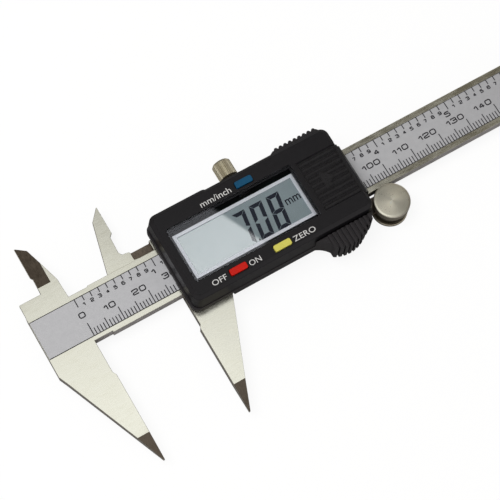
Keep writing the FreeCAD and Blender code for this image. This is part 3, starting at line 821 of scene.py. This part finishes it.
def lettering(name, text, x0, x1, y0, y1, low, thick, material, weight=0.0):
    """Printed letters that fill the box x0 to x1, y0 to y1, in mm, made bolder by weight."""
    bpy.ops.object.select_all(action="DESELECT")
    bpy.ops.object.text_add()
    part = bpy.context.view_layer.objects.active
    part.name = name
    part.data.body = text
    part.data.extrude = 0.01
    part.data.offset = weight
    part.data.resolution_u = 3
    bpy.ops.object.convert(target="MESH")
    part = bpy.context.view_layer.objects.active
    part.name = name
    low_corner = Vector(map(min, *[v.co for v in part.data.vertices]))
    high_corner = Vector(map(max, *[v.co for v in part.data.vertices]))
    size = high_corner - low_corner
    start = at(x0, y0, low)
    grow = Vector((
        (x1 - x0) / 1000 / size.x, (y1 - y0) / 1000 / size.y, thick / 1000 / size.z,
    ))
    bpy.ops.object.mode_set(mode="EDIT")
    bpy.ops.mesh.select_all(action="SELECT")
    bpy.ops.mesh.remove_doubles(threshold=0.00001)
    bpy.ops.transform.translate(value=-low_corner)
    bpy.ops.transform.resize(value=grow, center_override=(0, 0, 0))
    bpy.ops.transform.translate(value=start)
    bpy.ops.mesh.normals_make_consistent(inside=False)
    bpy.ops.object.mode_set(mode="OBJECT")
    part.data.materials.clear()
    part.data.materials.append(material)
    return part


lcd_unit = lettering(
    "lcd_unit", "mm", 67.1, 71.9, -0.9, 0.95, figure_high, 0.012, segment_dark, 0.012,
)
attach(lcd_unit, "slider_body")


# ---------------------------------------------------------------------------
# Housing cover: the upper half of the case, moulded in black ABS with a window
# recess, three button holes and the battery bay. Four screws from below pull it
# down on the base, and the legends beside the buttons are white pad printing.

cover_plastic = finish(
    "cover_plastic", (0.009, 0.0085, 0.010), (0.006, 0.0056, 0.007), 0.0, (0.30, 0.40),
    0.18, 0.003, (1, 1, 1), 0.23,
)
dress("housing_cover", "slider_body", 0.14, cover_plastic)
legend_white = finish(
    "legend_white", (0.62, 0.62, 0.61), (0.50, 0.50, 0.50), 0.0, (0.45, 0.6), 0.3, 0.001,
)
cover_top = (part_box("housing_cover")[1].z - scale_zero.z) * 1000
legends = {
    "legend_unit": ("mm/inch", 44.3, 54.3, 9.55, 11.45),
    "legend_off": ("OFF", 35.4, 40.1, -12.85, -11.15),
    "legend_on": ("ON", 47.6, 51.4, -12.85, -11.15),
    "legend_zero": ("ZERO", 62.4, 69.6, -12.75, -11.05),
}
for name, (text, x0, x1, y0, y1) in legends.items():
    legend = lettering(name, text, x0, x1, y0, y1, cover_top, ink_thick, legend_white)
    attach(legend, "slider_body")
dress("housing_screws", "slider_body", 0.08, screw_steel)


# ---------------------------------------------------------------------------
# Display window: a clear acrylic sheet dropped into the recess of the cover and
# glued on its ledge. Its polished face mirrors the room, more so at a low angle.

mirror_least, mirror_most, mirror_power, most_haze = 0.03, 0.9, 5, 0.01
clear_acrylic = bpy.data.materials.new("clear_acrylic")
clear_acrylic.use_nodes = True
tree = clear_acrylic.node_tree
tree.nodes.remove(tree.nodes["Principled BSDF"])
output = tree.nodes["Material Output"]
through = tree.nodes.new("ShaderNodeBsdfTransparent")
through.inputs["Color"].default_value = (0.97, 0.98, 0.98, 1)
mirror = tree.nodes.new("ShaderNodeBsdfGlossy")
mirror.inputs["Color"].default_value = (0.90, 0.91, 1, 1)
wipe = tree.nodes.new("ShaderNodeTexNoise")
wipe.inputs["Scale"].default_value = 60
place = tree.nodes.new("ShaderNodeTexCoord")
tree.links.new(place.outputs["Object"], wipe.inputs["Vector"])
haze = tree.nodes.new("ShaderNodeMapRange")
haze.inputs["To Max"].default_value = most_haze
tree.links.new(wipe.outputs["Fac"], haze.inputs["Value"])
tree.links.new(haze.outputs["Result"], mirror.inputs["Roughness"])
facing = tree.nodes.new("ShaderNodeLayerWeight")
facing.inputs["Blend"].default_value = 0.5
steep = tree.nodes.new("ShaderNodeMath")
steep.operation = "POWER"
steep.inputs[1].default_value = mirror_power
tree.links.new(facing.outputs["Facing"], steep.inputs[0])
glance = tree.nodes.new("ShaderNodeMapRange")
glance.inputs["To Min"].default_value = mirror_least
glance.inputs["To Max"].default_value = mirror_most
tree.links.new(steep.outputs["Value"], glance.inputs["Value"])
mix = tree.nodes.new("ShaderNodeMixShader")
tree.links.new(glance.outputs["Result"], mix.inputs["Fac"])
tree.links.new(through.outputs["BSDF"], mix.inputs[1])
tree.links.new(mirror.outputs["BSDF"], mix.inputs[2])
tree.links.new(mix.outputs["Shader"], output.inputs["Surface"])
lens_low, lens_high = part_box("display_lens")
side_gap, ledge_gap = 0.00003, 0.00004
lens_low += Vector((side_gap, side_gap, ledge_gap))
lens_high -= Vector((side_gap, side_gap, 0))
corner_round, edge_round = 0.00045, 0.0001


def pick_edges(part, chosen):
    """Leaves the piece in edit mode with just the edges that chosen(end, end) picks."""
    bpy.ops.object.mode_set(mode="EDIT")
    bpy.ops.mesh.select_mode(type="EDGE")
    bpy.ops.mesh.select_all(action="DESELECT")
    bpy.ops.object.mode_set(mode="OBJECT")
    for edge in part.data.edges:
        edge.select = chosen(*[part.data.vertices[i].co for i in edge.vertices])
    bpy.ops.object.mode_set(mode="EDIT")


bpy.ops.object.select_all(action="DESELECT")
bpy.ops.mesh.primitive_cube_add(size=1, location=(lens_low + lens_high) / 2)
lens = bpy.context.view_layer.objects.active
lens.name = "window_sheet"
lens.scale = lens_high - lens_low
bpy.ops.object.transform_apply(location=True, rotation=True, scale=True)
pick_edges(lens, lambda start, end: abs(start.z - end.z) > 0.0005)
bpy.ops.mesh.bevel(offset=corner_round, segments=6, clamp_overlap=False)
pick_edges(lens, lambda start, end: min(start.z, end.z) > lens_high.z - 0.00001)
bpy.ops.mesh.bevel(offset=edge_round, segments=2, clamp_overlap=False)
bpy.ops.mesh.select_mode(type="VERT")
bpy.ops.object.mode_set(mode="OBJECT")
lens.data.materials.append(clear_acrylic)
smooth(lens, 25)
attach(lens, "slider_body")
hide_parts("display_lens")


# ---------------------------------------------------------------------------
# Buttons: three caps moulded in coloured ABS, standing a little out of the cover
# over the switches. Blue changes the unit, red switches on and off, yellow sets
# the zero.

button_blue = finish(
    "button_blue", (0.003, 0.062, 0.135), (0.002, 0.052, 0.115), 0.0, (0.34, 0.44), 0.3, 0.003,
    (1, 1, 1), 0.25,
)
button_red = finish(
    "button_red", (0.50, 0.008, 0.003), (0.43, 0.006, 0.002), 0.0, (0.34, 0.44), 0.3, 0.003,
    (1, 1, 1), 0.25,
)
button_yellow = finish(
    "button_yellow", (0.58, 0.54, 0.11), (0.51, 0.48, 0.09), 0.0, (0.34, 0.44), 0.3, 0.003,
    (1, 1, 1), 0.25,
)
dress("unit_button", "unit_button_body", 0.14, button_blue, 3)
dress("power_button", "power_button_body", 0.14, button_red, 3)
dress("zero_button", "zero_button_body", 0.14, button_yellow, 3)


# ---------------------------------------------------------------------------
# Battery: a button cell of plated steel in a moulded tray, between a flat lower
# contact and a side clip of nickel-plated spring.

cell_steel = finish(
    "cell_steel", (0.66, 0.66, 0.64), (0.56, 0.56, 0.55), 1.0, (0.2, 0.32), 0.4, 0.002,
)
contact_nickel = finish(
    "contact_nickel", (0.70, 0.66, 0.56), (0.60, 0.56, 0.47), 1.0, (0.25, 0.36), 0.3, 0.002,
)
node_finish("battery_tray", case_plastic)
node_finish("battery_contacts", contact_nickel)
dress("battery_cell", "slider_body", 0.12, cell_steel)


# ---------------------------------------------------------------------------
# Battery cover: a black ABS slide held by its tongues in the grooves of the bay. Its
# moulded ribs are rounded, and a flat arrow in the middle shows the way off.

ribbed_plastic = finish(
    "ribbed_plastic", (0.008, 0.0076, 0.009), (0.005, 0.0047, 0.006), 0.0, (0.24, 0.32),
    0.18, 0.002, (1, 1, 1), 0.36,
)
rib_count, rib_pitch, rib_half, rib_deep = 9, 1.86, 0.70, 0.45
rib_rise, rib_long, rib_round = 0.5, 12.1, 0.2
first_rib = at(81.3, -8.0, cover_top - rib_rise)
door = stoned_copy("battery_cover", "battery_cover_ribbed", 0)
door_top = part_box("battery_cover")[1].z
select_by(door, lambda place: place.z > door_top - 0.00002)
bpy.ops.transform.translate(value=(0, 0, -rib_deep / 1000))
bpy.ops.mesh.select_all(action="SELECT")
bpy.ops.mesh.remove_doubles(threshold=0.00004)
bpy.ops.object.mode_set(mode="OBJECT")
bpy.ops.object.select_all(action="DESELECT")
bpy.ops.mesh.primitive_cylinder_add(
    vertices=28, radius=1, depth=1, end_fill_type="NGON", rotation=(0, math.pi / 2, 0),
    location=first_rib, scale=(rib_rise / 1000, rib_half / 1000, rib_long / 1000),
)
rib = bpy.context.view_layer.objects.active
bpy.ops.object.transform_apply(location=True, rotation=True, scale=True)
bpy.ops.object.mode_set(mode="EDIT")
bpy.ops.mesh.select_all(action="SELECT")
bpy.ops.mesh.bevel(offset=rib_round / 1000, segments=3)
bpy.ops.object.mode_set(mode="OBJECT")
ribs = [rib]
for step in range(1, rib_count):
    next_rib = bpy.data.objects.new("rib", rib.data.copy())
    bpy.context.scene.collection.objects.link(next_rib)
    next_rib.data.transform(Matrix.Translation((0, step * rib_pitch / 1000, 0)))
    ribs.append(next_rib)
arrow = flat_shape(
    "door_arrow", [[(79.0, 2.7), (79.0, -3.7), (82.9, -0.5)]], cover_top - rib_rise, rib_rise,
    ribbed_plastic,
)
only(door)
for piece in ribs + [arrow]:
    piece.select_set(True)
bpy.ops.object.join()
door.data.materials.clear()
door.data.materials.append(ribbed_plastic)
smooth(door, 35)
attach(door, "battery_cover_body")
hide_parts("battery_cover")


# ---------------------------------------------------------------------------
# Studio: a plain pale floor, one large overhead softbox at the left, a dark screen
# at the right and an open room all round. Floor and backdrop are white to the camera.

camera_data = bpy.data.cameras.new("camera")
camera_data.lens = 111.81
camera_data.sensor_width = 36
camera_data.clip_start = 0.01
camera = bpy.data.objects.new("camera", camera_data)
bpy.context.scene.collection.objects.link(camera)
right = Vector((0.862049, -0.505596, 0.035256))
up = Vector((0.466423, 0.818627, 0.335111))
back = Vector((-0.198293, -0.272438, 0.941519))
camera_place = at(-38.244, -129.474, 427.227)
camera.matrix_world = (
    Matrix.Translation(camera_place) @ Matrix((right, up, back)).transposed().to_4x4()
)
bpy.context.scene.camera = camera

bpy.ops.object.select_all(action="DESELECT")
bpy.ops.mesh.primitive_plane_add(size=6, location=(0, 0, 0))
floor = bpy.context.view_layer.objects.active
floor.name = "floor"
paper = bpy.data.materials.new("white_paper")
paper.use_nodes = True
floor_tone, floor_tone_seen, self_lit_share = 0.24, 0.95, 0.9
tree = paper.node_tree
tree.nodes.remove(tree.nodes["Principled BSDF"])
output = tree.nodes["Material Output"]
matt = tree.nodes.new("ShaderNodeBsdfDiffuse")
path = tree.nodes.new("ShaderNodeLightPath")
paper_shade = tree.nodes.new("ShaderNodeMapRange")
paper_shade.inputs["To Min"].default_value = floor_tone
paper_shade.inputs["To Max"].default_value = floor_tone_seen
tree.links.new(path.outputs["Is Camera Ray"], paper_shade.inputs["Value"])
tree.links.new(paper_shade.outputs["Result"], matt.inputs["Color"])
bright = tree.nodes.new("ShaderNodeEmission")
bright.inputs["Color"].default_value = (1, 1, 1, 1)
share = tree.nodes.new("ShaderNodeMath")
share.operation = "MULTIPLY"
share.inputs[1].default_value = self_lit_share
tree.links.new(path.outputs["Is Camera Ray"], share.inputs[0])
mix = tree.nodes.new("ShaderNodeMixShader")
tree.links.new(share.outputs["Value"], mix.inputs["Fac"])
tree.links.new(matt.outputs["BSDF"], mix.inputs[1])
tree.links.new(bright.outputs["Emission"], mix.inputs[2])
tree.links.new(mix.outputs["Shader"], output.inputs["Surface"])
floor.data.materials.append(paper)

world = bpy.data.worlds.new("studio")
bpy.context.scene.world = world
world.use_nodes = True
tree = world.node_tree
background = tree.nodes["Background"]
direction = tree.nodes.new("ShaderNodeTexCoord")


def edge_mask(normal, soft):
    """1 on the side that normal points away from, 0 beyond, with a soft edge."""
    side = tree.nodes.new("ShaderNodeVectorMath")
    side.operation = "DOT_PRODUCT"
    side.inputs[1].default_value = normal
    tree.links.new(direction.outputs["Generated"], side.inputs[0])
    step = tree.nodes.new("ShaderNodeMapRange")
    step.interpolation_type = "SMOOTHSTEP"
    step.inputs["From Min"].default_value = soft
    step.inputs["From Max"].default_value = -soft
    tree.links.new(side.outputs["Value"], step.inputs["Value"])
    return step.outputs["Result"]


def times(a, b):
    """The product of two masks."""
    product = tree.nodes.new("ShaderNodeMath")
    product.operation = "MULTIPLY"
    tree.links.new(a, product.inputs[0])
    tree.links.new(b, product.inputs[1])
    return product.outputs["Value"]


def shade(factor, a, b):
    """Radiance a where factor is 0 and b where it is 1; a and b are colours or sockets."""
    blend = tree.nodes.new("ShaderNodeMix")
    blend.data_type = "RGBA"
    tree.links.new(factor, blend.inputs[0])
    for value, socket in ((a, blend.inputs[6]), (b, blend.inputs[7])):
        if isinstance(value, tuple):
            socket.default_value = (*value, 1)
        else:
            tree.links.new(value, socket)
    return blend.outputs[2]


softbox_edge, screen_edge = (0.8643, 0.3985, -0.3071), (-0.8643, -0.3985, 0.3071)
sky_start, sky_end = 0.66, 0.42
softbox = times(
    times(edge_mask(softbox_edge, 0.0015), edge_mask((0, -1, 0), 0.2)),
    times(edge_mask((-1, 0, -0.25), 0.2), edge_mask((0, 1, -0.36), 0.09)),
)
low_sky = tree.nodes.new("ShaderNodeMapRange")
low_sky.interpolation_type = "SMOOTHSTEP"
height = tree.nodes.new("ShaderNodeSeparateXYZ")
tree.links.new(direction.outputs["Generated"], height.inputs[0])
tree.links.new(height.outputs["Z"], low_sky.inputs["Value"])
low_sky.inputs["From Min"].default_value = sky_start
low_sky.inputs["From Max"].default_value = sky_end
horizon = shade(edge_mask((0.4, 1, 0.5), 0.3), (0.45, 0.42, 0.385), (1.02, 0.98, 0.97))
open_room = shade(low_sky.outputs["Result"], (0.36, 0.345, 0.32), horizon)
dark_screen = times(
    times(edge_mask(screen_edge, 0.0015), edge_mask((0, 1, -0.45), 0.06)),
    times(edge_mask((0, -1, -0.05), 0.1), edge_mask((1, 0, -0.8), 0.1)),
)
screen_tone = shade(edge_mask((1, 0, -0.30), 0.03), (0.17, 0.15, 0.115), (0.03, 0.028, 0.03))
room = shade(dark_screen, open_room, screen_tone)
studio_light = shade(softbox, room, (1.55, 1.55, 1.53))
path = tree.nodes.new("ShaderNodeLightPath")
seen = shade(path.outputs["Is Camera Ray"], studio_light, (1.0, 1.0, 1.0))
tree.links.new(seen, background.inputs["Color"])

lamp_data = bpy.data.lights.new("overhead_lamp", "AREA")
lamp_data.shape = "DISK"
lamp_data.size = 0.5
lamp_data.energy = 3.7
lamp = bpy.data.objects.new("overhead_lamp", lamp_data)
bpy.context.scene.collection.objects.link(lamp)
lamp.location = (-0.30, 0.10, 0.70)
lamp.rotation_mode = "QUATERNION"
lamp.rotation_quaternion = lamp.location.to_track_quat("Z", "Y")
lamp.visible_glossy = False
lamp.visible_camera = False

bpy.context.scene.view_settings.view_transform = "Standard"
